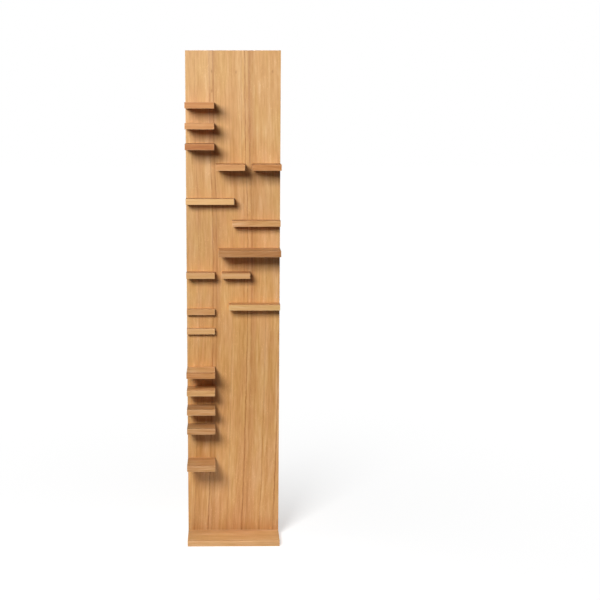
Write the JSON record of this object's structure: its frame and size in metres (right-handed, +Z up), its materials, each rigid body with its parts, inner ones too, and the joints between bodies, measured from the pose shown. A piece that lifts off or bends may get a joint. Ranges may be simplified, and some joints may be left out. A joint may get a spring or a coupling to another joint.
{
  "type": "spine bookshelf",
  "caption": "Tall narrow oak bookshelf: a back panel on a base plate carries small staggered shelves that hold stacks of books against it.",
  "frame": {"origin": "centre of the base plate's underside, on the floor", "axes": "+Z up, -Y towards the front where the shelves are, +X to the right seen from the front"},
  "size_m": [0.35, 0.16, 1.852],
  "materials": {
    "panel_oak": "clear matt lacquer",
    "shelf_oak": "clear matt lacquer",
    "beech": "bare",
    "screw_steel": "zinc plated",
    "hanger_steel": "zinc plated"
  },
  "bodies": {
    "root": {"back_panel": "panel_oak", "base_plate": "shelf_oak", "shelf_01": "shelf_oak", "shelf_02": "shelf_oak", "shelf_03": "shelf_oak", "shelf_04": "shelf_oak", "shelf_05": "shelf_oak", "shelf_06": "shelf_oak", "shelf_07": "shelf_oak", "shelf_08": "shelf_oak", "shelf_09": "shelf_oak", "shelf_10": "shelf_oak", "shelf_11": "shelf_oak", "shelf_12": "shelf_oak", "shelf_13": "shelf_oak", "shelf_14": "shelf_oak", "shelf_15": "shelf_oak", "shelf_16": "shelf_oak", "shelf_17": "shelf_oak", "shelf_18": "shelf_oak", "shelf_dowels": "beech", "shelf_screws": "screw_steel", "ledge_screws": "screw_steel", "base_dowels": "beech", "base_screws": "screw_steel", "wall_hanger": "hanger_steel", "hanger_screws": "screw_steel"}
  },
  "joints": []
}
